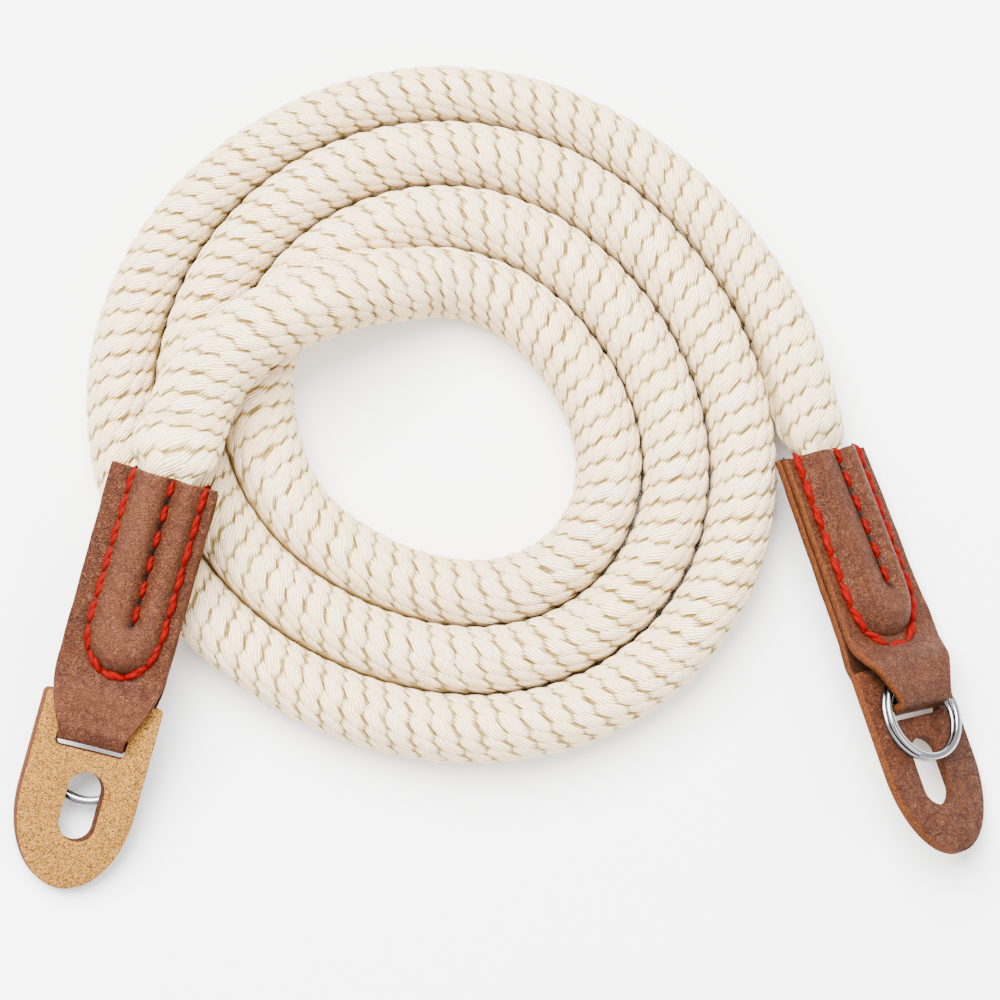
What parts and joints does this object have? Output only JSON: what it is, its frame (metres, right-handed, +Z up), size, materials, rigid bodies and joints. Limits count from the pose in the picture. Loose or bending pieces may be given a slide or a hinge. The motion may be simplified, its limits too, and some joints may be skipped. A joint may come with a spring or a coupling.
{
  "type": "camera shoulder strap",
  "caption": "Braided cotton rope strap laid in a flat coil, with a folded leather tab, a slotted leather guard and a split ring at each end.",
  "frame": {"origin": "middle of the base of the strap's box, where the coiled strap lies on a surface", "axes": "+Z up out of the surface, +Y across the coil away from the two leather ends, +X from the left end towards the right end"},
  "size_m": [0.1508, 0.1326, 0.0232],
  "materials": {
    "braided_cotton": "matt braided cotton",
    "grain_leather": "waxed smooth grain",
    "suede_leather": "grain on one side, raw split on the other",
    "nickel_steel": "polished nickel plate"
  },
  "bodies": {
    "root": {"rope": "braided_cotton", "tab_left": "grain_leather", "tab_right": "grain_leather", "guard_left": "suede_leather", "guard_right": "suede_leather", "ring_left": "nickel_steel", "ring_right": "nickel_steel"}
  },
  "joints": []
}
